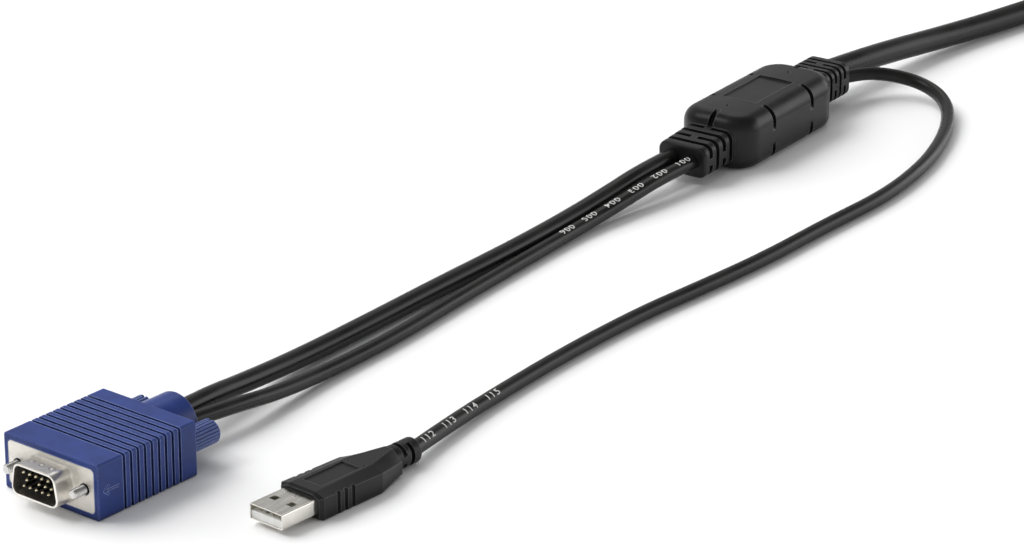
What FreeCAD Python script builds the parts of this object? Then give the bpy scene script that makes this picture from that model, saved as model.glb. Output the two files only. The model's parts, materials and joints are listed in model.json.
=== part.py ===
import FreeCAD
import Part
import math
import os

Vector = FreeCAD.Vector
UP = Vector(0, 0, 1)
ALONG = Vector(1, 0, 0)
ACROSS = Vector(0, 1, 0)

# A console cable: a moulded junction, a video plug and a data plug at the console end, and a trunk
# that ends in a second video plug. Sizes are in millimetres. The junction stands at the origin,
# its long axis along X, and everything lies on the plane z = 0.

# Clearances
press_gap = 0.02
running_gap = 0.08
seat_gap = 0.1
knob_gap = 0.3
cut_margin = 1.0

# Junction housing
body_length = 59.6
body_width = 27.5
body_height = 18.0
body_corner = 8.9
crown_drop = 0.9
top_round = 5.1
base_round = 3.4
panel_length = 24.0
panel_width = 12.6
panel_depth = 0.45
dot_radius = 0.55
dot_depth = 0.6
dot_offset = 19.3
notch_width = 2.0
top_notch_depth = 1.9
top_notch_tilt = 58.0
end_notch_tilt = 45.0
base_notch_depth = 1.25
base_notch_tilt = 114.0
side_notch_offset = 12.0

# Ribbed glands of the junction
gland_slots = 4
gland_corner = 3.0
gland_rim = 0.9
gland_bridge = 2.2
near_gland_width = 17.8
near_gland_height = 10.3
near_gland_level = 7.7
near_gland_rise = 1.4
near_gland_cap = 2.5
near_slot_pitch = 4.0
near_slot_width = 2.1
near_slot_depth = 1.5
near_gland_collar = 0.3
far_gland_width = 16.4
far_gland_height = 11.5
far_gland_level = 9.0
far_gland_rise = 0.0
far_gland_cap = 2.7
far_slot_pitch = 3.0
far_slot_width = 1.6
far_slot_depth = 1.3
far_gland_collar = 3.6

# Video plug hood
hood_length = 37.8
hood_width = 35.2
hood_height = 16.4
hood_round = 0.8
hood_rim = 0.35
groove_count = 9
groove_start = 9.5
groove_pitch = 2.66
groove_width = 1.0
groove_depth = 0.8
groove_round = 0.3
collar_radius = 8.2
collar_length = 10.9
collar_round = 0.6
arrow_start = 2.2
arrow_length = 5.6
arrow_head = 2.2
arrow_slant = 35.0
arrow_width = 0.5
arrow_depth = 0.2

# Front shell, pin block and pins of the video plug
flange_width = 31.9
flange_height = 12.8
flange_thickness = 1.0
flange_corner = 1.2
flange_root = 0.6
shell_inside_width = 16.92
shell_inside_height = 8.36
shell_inside_corner = 1.9
shell_slope = 10.0
shell_sheet = 0.7
shell_lip = 0.3
shell_reach = 6.4
shell_drop = 0.35
dimple_count = 3
dimple_pitch = 3.8
dimple_radius = 2.2
dimple_depth = 0.3
pin_block_front = 0.8
pin_block_back = 4.0
pin_radius = 0.38
pin_reach = 5.4
pin_pitch = 2.29
pin_row_pitch = 1.98
pins_in_row = 5
missing_pin = (1, 1)

# Thumbscrews of the video plug
screw_spacing = 24.99
thread_radius = 1.42
thread_setback = 0.4
shank_radius = 1.15
screw_reach = 4.6
screw_chamfer = 0.45
flange_hole_radius = 1.75
knob_radius = 3.65
knob_length = 11.2
knob_flutes = 24
flute_depth = 0.3
knob_chamfer = 0.6
knob_bore_depth = 8.0
driver_slot_width = 1.1
driver_slot_depth = 1.6

# Data plug
data_shell_width = 12.0
data_shell_height = 4.5
data_sheet = 0.3
data_shell_corner = 0.4
data_shell_reach = 12.9
data_shell_seat = 5.0
data_window_size = 2.3
data_window_spread = 6.3
data_window_back = 6.6
data_bump_radius = 0.7
data_bump_height = 0.25
data_bump_back = 10.7
tongue_thickness = 2.2
tongue_recess = 0.3
contact_count = 4
contact_pitch = 2.3
contact_width = 1.0
contact_length = 7.5
contact_thickness = 0.2
contact_setback = 1.2
grip_width = 16.0
grip_height = 7.6
grip_length = 34.7
grip_foot = 0.5
grip_side_height = 6.6
grip_top_width = 9.2
grip_nose = 1.2
grip_nose_inset = 1.0
grip_nose_drop = 0.5
grip_straight = 23.6
grip_bend_side = 6.1
grip_bend_top = 8.2
grip_tail_width = 9.8
grip_tail_rise = 0.75
grip_tail_side = 4.8
grip_tail_top = 2.6
grip_panel_length = 15.2
grip_panel_width = 6.8
grip_panel_depth = 0.4
grip_panel_start = 4.7
grip_dot_radius = 0.35
grip_dot_spread = 6.0
grip_dot_back = 1.9
grip_groove_count = 3
grip_groove_start = 6.0
grip_groove_pitch = 2.85
grip_groove_width = 1.3
grip_groove_depth = 0.6
relief_length = 9.4
relief_radius = 3.75
relief_root = 1.5
relief_round = 0.6
relief_slots = 2
relief_slot_start = 2.2
relief_slot_pitch = 2.9
relief_slot_width = 1.5
relief_slot_depth = 1.3
relief_bridge = 2.0

# Cords
video_diameter = 6.0
thin_diameter = 4.5
trunk_diameter = 8.0
bend_share = 0.45
floor_gap = 0.05

# Where the three plugs lie: the middle of each mating face on the floor, and the turn about the vertical
console_ahead = 344.8
console_aside = 12.5
console_turn = -5.42
data_ahead = 325.3
data_aside = 44.3
data_turn = -7.44
switch_behind = 378.0
switch_aside = 46.0
switch_turn = 180.0

# Where the cords enter the moulded ends, across each end
gland_video_offset = 3.9
gland_side_offset = -3.8
gland_trunk_offset = 2.6
gland_data_offset = -4.8
collar_video_offset = 2.9
collar_side_offset = -2.9

# Stored coil of the trunk
coil_centre = Vector(254, 2, 0)
coil_mid_radius = 44.0
coil_strands = 5
coil_entry_angle = -107.5
coil_entry_twist = -54.0
coil_exit_angle = -90.0
coil_exit_twist = 14.5
coil_stub = 33.0

# Values that follow from the sizes above
console_spot = Vector(-console_ahead, console_aside, 0)
data_spot = Vector(-data_ahead, -data_aside, 0)
switch_spot = Vector(switch_behind, -switch_aside, 0)
near_gland_length = near_gland_cap + (gland_slots - 1) * near_slot_pitch + near_slot_width + near_gland_collar
far_gland_length = far_gland_cap + (gland_slots - 1) * far_slot_pitch + far_slot_width + far_gland_collar
near_face = -(body_length / 2 + near_gland_length)
far_face = body_length / 2 + far_gland_length
plug_height = hood_height / 2
shell_height = plug_height - shell_drop
hood_back = hood_length + collar_length
data_height = grip_height / 2
data_back = data_shell_reach + grip_length + relief_length
video_radius = video_diameter / 2
thin_radius = thin_diameter / 2
trunk_radius = trunk_diameter / 2
coil_spread = trunk_radius / math.sin(math.pi / coil_strands)
coil_level = coil_spread + trunk_radius


def turned(spot, turn):
    return FreeCAD.Placement(spot, FreeCAD.Rotation(UP, turn))


def placed(shape, placement):
    moved = shape.copy()
    moved.Placement = placement.multiply(moved.Placement)
    return moved


def rounded_wire(corners, radius):
    """A closed outline through the corners, each corner an arc tangent to its two sides."""
    count = len(corners)
    starts = []
    ends = []
    arcs = []
    for index in range(count):
        corner = corners[index]
        back = (corners[index - 1] - corner).normalize()
        forward = (corners[(index + 1) % count] - corner).normalize()
        half_angle = back.getAngle(forward) / 2
        start = corner + back * (radius / math.tan(half_angle))
        end = corner + forward * (radius / math.tan(half_angle))
        bisector = (back + forward).normalize()
        middle = corner + bisector * (radius / math.sin(half_angle) - radius)
        starts.append(start)
        ends.append(end)
        arcs.append(Part.Arc(start, middle, end).toShape())
    edges = []
    for index in range(count):
        edges.append(arcs[index])
        following = starts[(index + 1) % count]
        if ends[index].distanceToPoint(following) > 1e-6:
            edges.append(Part.LineSegment(ends[index], following).toShape())
    return Part.Wire(edges)


def section_corners(width, height, middle_height, x=0.0):
    """Corners of an upright rectangle across X, centred on y = 0."""
    low = middle_height - height / 2
    high = middle_height + height / 2
    half = width / 2
    return [Vector(x, -half, low), Vector(x, half, low), Vector(x, half, high), Vector(x, -half, high)]


def bar(width, height, middle_height, radius, start, length):
    """A bar along X with rounded long edges."""
    outline = rounded_wire(section_corners(width, height, middle_height, start), radius)
    return Part.Face(outline).extrude(ALONG * length)


def block(start, end):
    """A plain block between two opposite corners."""
    size = end - start
    return Part.makeBox(size.x, size.y, size.z, start)


def edges_at(shape, x):
    """The edges that lie in the upright plane at x."""
    return [edge for edge in shape.Edges
            if abs(edge.BoundBox.XMin - x) < 1e-6 and abs(edge.BoundBox.XMax - x) < 1e-6]


def tapered_bar(width, height, level, rise, radius, length):
    """A rounded bar along +X whose top climbs by the rise along its length."""
    front = rounded_wire(section_corners(width, height, level), radius)
    back = rounded_wire(section_corners(width, height + rise, level + rise / 2, length), radius)
    return Part.makeLoft([front, back], True, True)


def gland(length, width, height, level, rise, cap, pitch, slot, depth):
    """A ribbed strain relief along +X from its outer face at x = 0, with slots that alternate."""
    reach = length + top_round + gland_rim
    relief = tapered_bar(width, height, level, rise, gland_corner, reach)
    relief = relief.makeFillet(gland_rim, edges_at(relief, 0.0))
    core = tapered_bar(width - 2 * depth, height - 2 * depth, level, rise, gland_corner - depth, reach)
    half = gland_bridge / 2
    for index in range(gland_slots):
        start = cap + index * pitch
        end = start + slot
        slab = block(Vector(start, -width, level - height), Vector(end, width, level + height))
        if index % 2 == 0:
            bridge = block(Vector(start, -width, level - half), Vector(end, width, level + half))
        else:
            bridge = block(Vector(start, -half, level - height), Vector(end, half, level + height))
        relief = relief.cut(slab.cut([core, bridge]))
    return relief


def crowned_body():
    """The junction's block: an arched top, upright corners and soft edges."""
    half = body_width / 2
    shoulder = body_height - crown_drop
    right_foot = Vector(-body_length / 2, -half, 0)
    left_foot = Vector(-body_length / 2, half, 0)
    left_top = Vector(-body_length / 2, half, shoulder)
    right_top = Vector(-body_length / 2, -half, shoulder)
    crest = Vector(-body_length / 2, 0, body_height)
    edges = [
        Part.LineSegment(right_foot, left_foot).toShape(),
        Part.LineSegment(left_foot, left_top).toShape(),
        Part.Arc(left_top, crest, right_top).toShape(),
        Part.LineSegment(right_top, right_foot).toShape(),
    ]
    solid = Part.Face(Part.Wire(edges)).extrude(ALONG * body_length)
    upright = [edge for edge in solid.Edges if edge.BoundBox.ZLength > shoulder / 2]
    solid = solid.makeFillet(body_corner, upright)
    top = [edge for edge in solid.Edges if edge.BoundBox.ZMin > shoulder - 0.01]
    solid = solid.makeFillet(top_round, top)
    base = [edge for edge in solid.Edges if edge.BoundBox.ZMax < 0.01]
    return solid.makeFillet(base_round, base)


def edge_notch(radius, depth):
    """A cutter across a rounded edge whose centre is at the origin, with its mouth along +Z."""
    reach = radius + depth
    floor = radius - depth
    return block(Vector(-notch_width / 2, -reach, floor), Vector(notch_width / 2, reach, reach))


def make_junction():
    shoulder = body_height - crown_drop
    near = gland(near_gland_length, near_gland_width, near_gland_height, near_gland_level,
                 near_gland_rise, near_gland_cap, near_slot_pitch, near_slot_width, near_slot_depth)
    near = placed(near, turned(Vector(near_face, 0, 0), 0))
    far = gland(far_gland_length, far_gland_width, far_gland_height, far_gland_level,
                far_gland_rise, far_gland_cap, far_slot_pitch, far_slot_width, far_slot_depth)
    far = placed(far, turned(Vector(far_face, 0, 0), 180))
    panel_edge = body_height - crown_drop * (panel_width / body_width) ** 2
    cutters = [block(Vector(-panel_length / 2, -panel_width / 2, panel_edge - panel_depth),
                     Vector(panel_length / 2, panel_width / 2, body_height + cut_margin))]
    for end in (-1, 1):
        dot = Vector(end * dot_offset, 0, body_height - dot_depth)
        cutters.append(Part.makeCylinder(dot_radius, dot_depth + cut_margin, dot))
        notch = edge_notch(top_round, top_notch_depth)
        notch.rotate(Vector(), UP, 90)
        notch.rotate(Vector(), ACROSS, end * end_notch_tilt)
        notch.translate(Vector(end * (body_length / 2 - top_round), 0, body_height - top_round))
        cutters.append(notch)
        for side in (-1, 1):
            notch = edge_notch(top_round, top_notch_depth)
            notch.rotate(Vector(), ALONG, -side * top_notch_tilt)
            top_edge = side * (body_width / 2 - top_round)
            notch.translate(Vector(end * side_notch_offset, top_edge, shoulder - top_round))
            cutters.append(notch)
            notch = edge_notch(base_round, base_notch_depth)
            notch.rotate(Vector(), ALONG, -side * base_notch_tilt)
            base_edge = side * (body_width / 2 - base_round)
            notch.translate(Vector(end * side_notch_offset, base_edge, base_round))
            cutters.append(notch)
    solid = crowned_body().cut(cutters)
    return solid.fuse([near, far]).removeSplitter()


def shell_corners(width, height, x):
    """Corners of the D outline, its wide side down, about the shell's own middle height."""
    lean = height / 2 * math.tan(math.radians(shell_slope))
    wide = width / 2
    narrow = width / 2 - 2 * lean
    low = shell_height - height / 2
    high = shell_height + height / 2
    return [Vector(x, -wide, low), Vector(x, wide, low), Vector(x, narrow, high), Vector(x, -narrow, high)]


def shell_bar(grow, start, end):
    """A solid of the D outline, grown all round, from one x to another."""
    width = shell_inside_width + 2 * grow
    height = shell_inside_height + 2 * grow
    outline = rounded_wire(shell_corners(width, height, start), shell_inside_corner + grow)
    return Part.Face(outline).extrude(ALONG * (end - start))


def screw_places():
    return [("left", screw_spacing / 2), ("right", -screw_spacing / 2)]


def round_bar(radius, start, end, y=0.0, z=plug_height):
    return Part.makeCylinder(radius, end - start, Vector(start, y, z), ALONG)


def make_arrow():
    """A plain arrow on the hood's side that points at the mating face."""
    y = -hood_width / 2
    half = arrow_width / 2
    tip = Vector(arrow_start, y, plug_height)

    def stroke(length, slant):
        cutter = block(Vector(arrow_start, y - cut_margin, plug_height - half),
                       Vector(arrow_start + length, y + arrow_depth, plug_height + half))
        cutter.rotate(tip, ACROSS, slant)
        return cutter

    return [stroke(arrow_length, 0), stroke(arrow_head, -arrow_slant), stroke(arrow_head, arrow_slant)]


def ring_groove(start):
    """What one grip groove takes from the hood, all the way round."""
    outer = bar(hood_width + cut_margin, hood_height + cut_margin, plug_height,
                hood_round, start, groove_width)
    inner = bar(hood_width - 2 * groove_depth, hood_height - 2 * groove_depth, plug_height,
                groove_round, start, groove_width)
    return outer.cut(inner)


def make_hood():
    """The moulded hood, from its front rim at x = 0 to the collar behind it."""
    solid = bar(hood_width, hood_height, plug_height, hood_round, 0, hood_length)
    solid = solid.makeFillet(hood_rim, edges_at(solid, 0.0) + edges_at(solid, hood_length))
    for index in range(groove_count):
        start = groove_start + index * groove_pitch
        solid = solid.cut(ring_groove(start))
    collar = round_bar(collar_radius, hood_length - hood_rim, hood_back)
    rim = [edge for edge in collar.Edges if abs(edge.BoundBox.XMin - hood_back) < 1e-6]
    collar = collar.makeFillet(collar_round, rim)
    solid = solid.fuse(collar)
    flange_pocket = bar(flange_width + 2 * seat_gap, flange_height + 2 * seat_gap, plug_height,
                        flange_corner + seat_gap, -cut_margin, cut_margin + flange_thickness)
    cutters = [flange_pocket, shell_bar(-press_gap, 0, flange_thickness + pin_block_back)]
    for name, y in screw_places():
        cutters.append(round_bar(shank_radius + running_gap, 0, hood_length, y))
    return solid.cut(cutters + make_arrow())


def make_front_shell():
    """Flange and D-shaped shell, drawn from one sheet with a rounded root between them."""
    flange = bar(flange_width, flange_height, plug_height, flange_corner, 0, flange_thickness)
    solid = flange.fuse(shell_bar(shell_sheet, -shell_reach, flange_thickness / 2))
    reach = shell_inside_height / 2 + shell_sheet + seat_gap
    root = [edge for edge in edges_at(solid, 0.0) if abs(edge.CenterOfMass.z - shell_height) < reach
            and abs(edge.CenterOfMass.y) < shell_inside_width / 2 + shell_sheet]
    solid = solid.makeFillet(flange_root, root)
    solid = solid.makeFillet(shell_lip, edges_at(solid, -shell_reach))
    cutters = [shell_bar(0, -shell_reach, flange_thickness)]
    for name, y in screw_places():
        cutters.append(round_bar(flange_hole_radius, 0, flange_thickness, y))
    ball_height = shell_height + shell_inside_height / 2 + shell_sheet + dimple_radius - dimple_depth
    for index in range(dimple_count):
        y = (index - (dimple_count - 1) / 2) * dimple_pitch
        cutters.append(Part.makeSphere(dimple_radius, Vector(-shell_reach / 2, y, ball_height)))
    return solid.cut(cutters).removeSplitter()


def pin_places():
    """The pins across and up, seen from the front: the middle row stands half a pitch to the right."""
    places = []
    for row in range(3):
        shift = pin_pitch / 4 if row != 1 else -pin_pitch / 4
        for index in range(pins_in_row):
            if (row, index) == missing_pin:
                continue
            y = ((pins_in_row - 1) / 2 - index) * pin_pitch + shift
            places.append((y, shell_height + (1 - row) * pin_row_pitch))
    return places


def spindle(outline):
    """A solid of revolution about X from points given as distance along and radius."""
    points = [Vector(x, 0, radius) for x, radius in outline]
    return Part.Face(Part.makePolygon(points + points[:1])).revolve(Vector(), ALONG, 360)


def make_pins():
    """Pins as a group of separate rods, each with a pointed tip."""
    back = flange_thickness + pin_block_back
    rod = spindle([(-pin_reach, 0), (-pin_reach, pin_radius / 2), (-pin_reach + pin_radius, pin_radius),
                   (back, pin_radius), (back, 0)])
    pins = []
    for y, z in pin_places():
        pin = rod.copy()
        pin.translate(Vector(0, y, z))
        pins.append(pin)
    return Part.makeCompound(pins)


def make_pin_block():
    solid = shell_bar(-press_gap * 2, -pin_block_front, flange_thickness + pin_block_back)
    holes = [round_bar(pin_radius + press_gap, -pin_block_front, flange_thickness + pin_block_back, y, z)
             for y, z in pin_places()]
    return solid.cut(holes)


def make_knob(y):
    """A fluted thumbscrew knob behind the hood, with a driver slot in its end."""
    front = hood_length + knob_gap
    back = front + knob_length
    step = 2 * math.pi / knob_flutes
    valley = knob_radius - flute_depth

    def rim_point(radius, angle):
        return Vector(front, y + radius * math.cos(angle), plug_height + radius * math.sin(angle))

    edges = []
    for index in range(knob_flutes):
        start = index * step
        crest = Part.Arc(rim_point(knob_radius, start), rim_point(knob_radius, start + step / 4),
                         rim_point(knob_radius, start + step / 2))
        flute = Part.Arc(rim_point(knob_radius, start + step / 2), rim_point(valley, start + step * 3 / 4),
                         rim_point(knob_radius, start + step))
        edges += [crest.toShape(), flute.toShape()]
    solid = Part.Face(Part.Wire(edges)).extrude(ALONG * knob_length)
    cone = Part.makeCone(knob_radius + knob_length - knob_chamfer, knob_radius - knob_chamfer, knob_length,
                         Vector(front, y, plug_height), ALONG)
    solid = solid.common(cone)
    bore = round_bar(shank_radius + press_gap, front, front + knob_bore_depth, y)
    half = driver_slot_width / 2
    slot = block(Vector(back - driver_slot_depth, y - half, 0), Vector(back, y + half, hood_height))
    return solid.cut([bore, slot])


def make_screw(y):
    """A thumbscrew's steel rod: a chamfered thread in front of the flange, then a thinner captive shank."""
    back = hood_length + knob_gap + knob_bore_depth
    rod = spindle([(-screw_reach, 0), (-screw_reach, thread_radius - screw_chamfer),
                   (-screw_reach + screw_chamfer, thread_radius), (-thread_setback, thread_radius),
                   (-thread_setback, shank_radius), (back, shank_radius), (back, 0)])
    rod.translate(Vector(0, y, plug_height))
    return rod


def make_data_shell():
    """The folded steel mouth of the data plug, with its two windows."""
    length = data_shell_reach + data_shell_seat
    solid = bar(data_shell_width, data_shell_height, data_height, data_shell_corner, 0, length)
    top = data_height + data_shell_height / 2
    bump_centre = Vector(data_bump_back, 0, top + data_bump_height - data_bump_radius)
    solid = solid.fuse(Part.makeSphere(data_bump_radius, bump_centre))
    inner = bar(data_shell_width - 2 * data_sheet, data_shell_height - 2 * data_sheet, data_height,
                data_shell_corner - data_sheet, 0, length)
    cutters = [inner]
    half = data_window_size / 2
    for side in (-1, 1):
        y = side * data_window_spread / 2
        cutters.append(block(Vector(data_window_back - half, y - half, data_height),
                             Vector(data_window_back + half, y + half, top + cut_margin)))
    return solid.cut(cutters)


def contact_places():
    return [(index - (contact_count - 1) / 2) * contact_pitch for index in range(contact_count)]


def tongue_top():
    return data_height - data_shell_height / 2 + data_sheet + tongue_thickness


def contact_box(y):
    """One contact strip, let into the tongue so that its face is level with it."""
    start = tongue_recess + contact_setback
    return block(Vector(start, y - contact_width / 2, tongue_top() - contact_thickness),
                 Vector(start + contact_length, y + contact_width / 2, tongue_top()))


def make_tongue():
    low = data_height - data_shell_height / 2 + data_sheet
    half = data_shell_width / 2 - data_shell_corner
    back = data_shell_reach + data_shell_seat
    solid = block(Vector(tongue_recess, -half, low), Vector(back, half, tongue_top()))
    return solid.cut([contact_box(y) for y in contact_places()])


def make_contacts():
    return Part.makeCompound([contact_box(y) for y in contact_places()])


def grip_section(x, half, low, side, top_half, top):
    """The grip across the plug: a bevelled foot, upright sides and sloped shoulders up to the flat top."""
    right = [Vector(x, grip_foot - half, low), Vector(x, -half, low + grip_foot),
             Vector(x, -half, side), Vector(x, -top_half, top)]
    left = [Vector(x, -point.y, point.z) for point in reversed(right)]
    return Part.makePolygon(right + left + right[:1])


def make_grip():
    """The data plug's moulded grip with sloped shoulders, grip grooves and a slotted strain relief."""
    front = data_shell_reach
    back = front + grip_length
    half = grip_width / 2
    top_half = grip_top_width / 2
    nose_side = grip_side_height - grip_nose_drop
    nose_top = grip_height - grip_nose_drop
    sections = [
        grip_section(front, half - grip_nose_inset, grip_nose_drop, nose_side, top_half, nose_top),
        grip_section(front + grip_nose, half, 0, grip_side_height, top_half, grip_height),
        grip_section(front + grip_straight, half, 0, grip_bend_side, grip_bend_top / 2, grip_height),
        grip_section(back, grip_tail_width / 2, grip_tail_rise, grip_tail_side, grip_tail_top / 2, grip_height),
    ]
    solid = Part.makeLoft(sections, True, True)
    relief = round_bar(relief_radius, back - relief_root, data_back, 0, data_height)
    rim = [edge for edge in relief.Edges if abs(edge.BoundBox.XMin - data_back) < 1e-6]
    relief = relief.makeFillet(relief_round, rim)
    slots = []
    for index in range(relief_slots):
        start = back + relief_slot_start + index * relief_slot_pitch
        end = start + relief_slot_width
        ring = round_bar(relief_radius + cut_margin, start, end, 0, data_height)
        ring = ring.cut(round_bar(relief_radius - relief_slot_depth, start, end, 0, data_height))
        half = relief_bridge / 2
        if index % 2 == 0:
            bridge = block(Vector(start, -grip_width, data_height - half),
                           Vector(end, grip_width, data_height + half))
        else:
            bridge = block(Vector(start, -half, 0), Vector(end, half, 2 * grip_height))
        slots.append(ring.cut(bridge))
    solid = solid.fuse(relief.cut(slots))
    seat_end = front + data_shell_seat
    cutters = [bar(data_shell_width, data_shell_height, data_height, data_shell_corner, 0, seat_end)]
    panel_start = front + grip_panel_start
    panel_end = panel_start + grip_panel_length
    cutters.append(block(Vector(panel_start, -grip_panel_width / 2, grip_height - grip_panel_depth),
                         Vector(panel_end, grip_panel_width / 2, grip_height + cut_margin)))
    for side in (-1, 1):
        dot = Vector(panel_end + grip_dot_back, side * grip_dot_spread / 2, grip_height - grip_panel_depth)
        cutters.append(Part.makeCylinder(grip_dot_radius, grip_panel_depth + cut_margin, dot))
        for index in range(grip_groove_count):
            start = front + grip_groove_start + index * grip_groove_pitch
            inner = side * (grip_width / 2 - grip_groove_depth)
            outer = side * (grip_width / 2 + cut_margin)
            end = start + grip_groove_width
            cutters.append(block(Vector(start, min(inner, outer), -cut_margin),
                                 Vector(end, max(inner, outer), grip_height)))
    return solid.cut(cutters)


def cord_path(points):
    """Straight runs joined by arcs as large as the runs allow, and each arc's radius."""
    edges = []
    radii = []
    previous = points[0]
    for index in range(1, len(points) - 1):
        corner = points[index]
        back = points[index - 1] - corner
        forward = points[index + 1] - corner
        shorter = min(back.Length, forward.Length)
        half_turn = (math.pi - back.getAngle(forward)) / 2
        radius = bend_share * shorter / math.tan(half_turn)
        back.normalize()
        forward.normalize()
        start = corner + back * (bend_share * shorter)
        end = corner + forward * (bend_share * shorter)
        inward = (back + forward).normalize()
        middle = corner + inward * (radius / math.cos(half_turn) - radius)
        edges.append(Part.LineSegment(previous, start).toShape())
        edges.append(Part.Arc(start, middle, end).toShape())
        radii.append(radius)
        previous = end
    edges.append(Part.LineSegment(previous, points[-1]).toShape())
    return Part.Wire(edges), radii


def make_cord(name, points, diameter):
    path, radii = cord_path(points)
    heading = points[1] - points[0]
    profile = Part.Wire(Part.makeCircle(diameter / 2, points[0], heading))
    tube = path.makePipeShell([profile], True, False)
    plain_volume = math.pi * diameter ** 2 / 4 * path.Length
    print(name, "length %.1f" % path.Length, "volume ratio %.4f" % (tube.Volume / plain_volume),
          "smallest radius %.1f diameters" % (min(radii) / diameter), "low %.2f" % tube.BoundBox.ZMin)
    print("  radii", " ".join("%.0f" % radius for radius in radii))
    return tube


def on_plug(placement, x, y, z):
    return placement.multVec(Vector(x, y, z))


console_place = turned(console_spot, console_turn)
data_place = turned(data_spot, data_turn)
switch_place = turned(switch_spot, switch_turn)


def video_route():
    floor = video_radius + floor_gap
    return [
        Vector(near_face, gland_video_offset, near_gland_level),
        Vector(-62, 5.1, 7.3),
        Vector(-80, 6.4, 5.2),
        Vector(-102, 7.6, 3.5),
        Vector(-132, 8.3, floor),
        Vector(-168, 10.0, floor),
        Vector(-204, 11.0, floor),
        Vector(-236, 12.1, 3.3),
        Vector(-262, 11.7, 5.4),
        Vector(-280, 11.2, 7.6),
        on_plug(console_place, hood_back, collar_video_offset, plug_height),
    ]


def side_route():
    floor = thin_radius + floor_gap
    return [
        Vector(near_face, gland_side_offset, near_gland_level),
        Vector(-62, -2.3, 7.3),
        Vector(-80, -0.4, 5.0),
        Vector(-102, 1.8, 2.7),
        Vector(-132, 1.8, floor),
        Vector(-168, 1.2, floor),
        Vector(-204, -0.3, floor),
        Vector(-236, 0.9, 2.5),
        Vector(-260, 0.9, 4.4),
        Vector(-279, 1.8, 7.3),
        on_plug(console_place, hood_back, collar_side_offset, plug_height),
    ]


def data_route():
    floor = thin_radius + floor_gap
    return [
        Vector(far_face, gland_data_offset, far_gland_level),
        Vector(55.4, -7.9, 8.7),
        Vector(62.3, -14.9, 7.4),
        Vector(64.9, -23.5, 6.0),
        Vector(62.8, -32.2, 4.6),
        Vector(56.5, -39.7, 3.4),
        Vector(44.4, -47.0, 2.5),
        Vector(26.9, -53.8, floor),
        Vector(4, -59.8, floor),
        Vector(-26, -62.7, floor),
        Vector(-58, -59.9, floor),
        Vector(-92, -58.3, floor),
        Vector(-122, -54.5, floor),
        Vector(-150, -50.3, floor),
        Vector(-186, -48.1, floor),
        Vector(-222, -48.0, floor),
        Vector(-248, -49.4, 2.9),
        on_plug(data_place, data_back, 0, data_height),
    ]


def coil_point(angle, twist):
    """A strand's middle, from the angle about the ring's axis and the twist about its section."""
    turn = math.radians(angle)
    radius = coil_mid_radius + coil_spread * math.cos(math.radians(twist))
    level = coil_level + coil_spread * math.sin(math.radians(twist))
    return coil_centre + Vector(radius * math.cos(turn), radius * math.sin(turn), level)


def coil_heading(angle):
    turn = math.radians(angle + 90)
    return Vector(math.cos(turn), math.sin(turn), 0)


def trunk_route():
    entry = coil_point(coil_entry_angle, coil_entry_twist)
    return [
        Vector(far_face, gland_trunk_offset, far_gland_level),
        Vector(62, 0.0, 8.6),
        Vector(84, -3.1, 7.3),
        Vector(110, -6.8, 5.0),
        Vector(138, -13.1, trunk_radius + floor_gap),
        Vector(175, -22.4, 4.3),
        entry - coil_heading(coil_entry_angle) * coil_stub,
    ]


def tail_route():
    leaving = coil_point(coil_exit_angle, coil_exit_twist)
    return [
        leaving + coil_heading(coil_exit_angle) * coil_stub,
        Vector(299, -48.3, 11.6),
        Vector(314.5, -46.8, 9.1),
        on_plug(switch_place, hood_back, 0, plug_height),
    ]


def make_coil():
    """All the turns of the stored coil as one ring, with the short lengths that enter and leave it."""
    ring = Part.makeTorus(coil_mid_radius, coil_spread + trunk_radius, coil_centre + UP * coil_level)
    entry = coil_point(coil_entry_angle, coil_entry_twist)
    heading = coil_heading(coil_entry_angle)
    lead = Part.makeCylinder(trunk_radius, coil_stub, entry - heading * coil_stub, heading)
    leaving = coil_point(coil_exit_angle, coil_exit_twist)
    tail = Part.makeCylinder(trunk_radius, coil_stub, leaving, coil_heading(coil_exit_angle))
    return ring.fuse([lead, tail]).removeSplitter()


def video_plug(name, placement):
    """Every piece of one video plug, in its place."""
    pieces = {
        name + "_hood": make_hood(),
        name + "_front_shell": make_front_shell(),
        name + "_pin_block": make_pin_block(),
        name + "_pins": make_pins(),
    }
    for side, y in screw_places():
        pieces[name + "_" + side + "_knob"] = make_knob(y)
        pieces[name + "_" + side + "_screw"] = make_screw(y)
    return {node: placed(shape, placement) for node, shape in pieces.items()}


nodes = {"junction_housing": make_junction()}
nodes.update(video_plug("console", console_place))
nodes.update(video_plug("switch", switch_place))
nodes["data_grip"] = placed(make_grip(), data_place)
nodes["data_shell"] = placed(make_data_shell(), data_place)
nodes["data_tongue"] = placed(make_tongue(), data_place)
nodes["data_contacts"] = placed(make_contacts(), data_place)
nodes["video_cord"] = make_cord("video_cord", video_route(), video_diameter)
nodes["side_cord"] = make_cord("side_cord", side_route(), thin_diameter)
nodes["data_cord"] = make_cord("data_cord", data_route(), thin_diameter)
nodes["trunk_cord"] = make_cord("trunk_cord", trunk_route(), trunk_diameter)
nodes["trunk_coil"] = make_coil()
nodes["trunk_tail"] = make_cord("trunk_tail", tail_route(), trunk_diameter)

os.makedirs("parts", exist_ok=True)
for node, shape in nodes.items():
    shape.exportStep("parts/" + node + ".step")
    state = "valid" if shape.isValid() else "NOT VALID"
    print(node, state, len(shape.Solids), "solids, volume %.1f" % shape.Volume)
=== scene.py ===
import json
import math

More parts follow.
